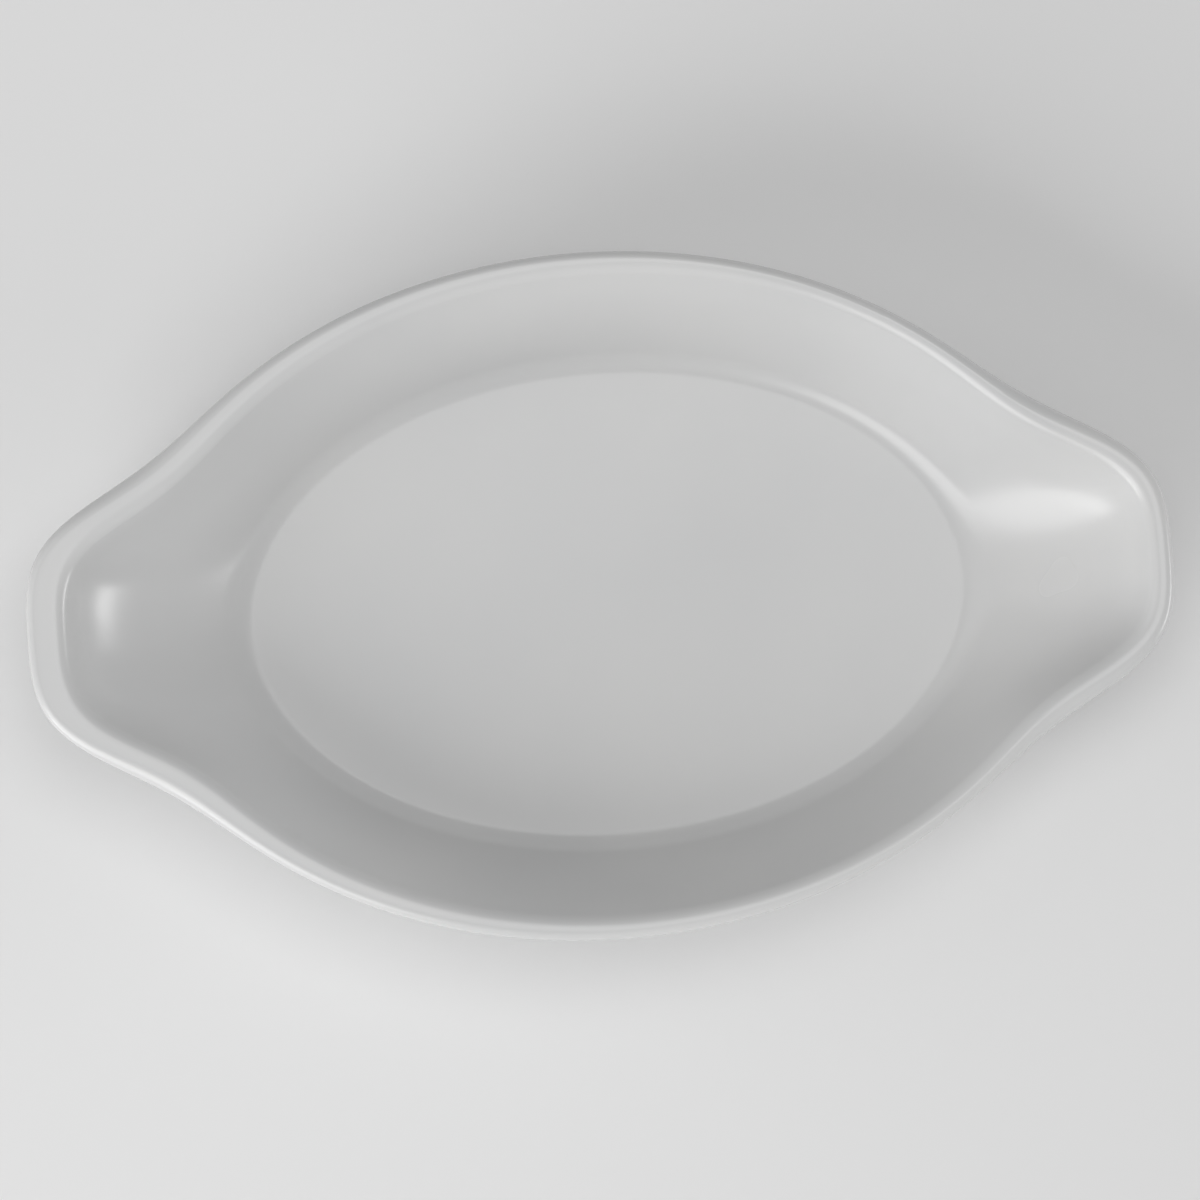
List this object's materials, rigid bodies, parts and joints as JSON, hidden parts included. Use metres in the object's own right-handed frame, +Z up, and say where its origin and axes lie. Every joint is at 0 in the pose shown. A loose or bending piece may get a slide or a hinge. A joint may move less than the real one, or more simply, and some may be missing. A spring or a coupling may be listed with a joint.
{
  "type": "gratin dish",
  "caption": "Shallow oval glazed porcelain baking dish with a rolled rim and a scooped ear at each end, standing on a foot ring.",
  "frame": {"origin": "on the resting plane under the middle of the dish's outline", "axes": "+Z up out of the bowl, +X along the length towards the ear with the narrower lip, +Y across"},
  "size_m": [0.28, 0.1682, 0.042],
  "materials": {
    "glaze": "glossy white glaze"
  },
  "bodies": {
    "root": {"dish": "glaze"}
  },
  "joints": []
}
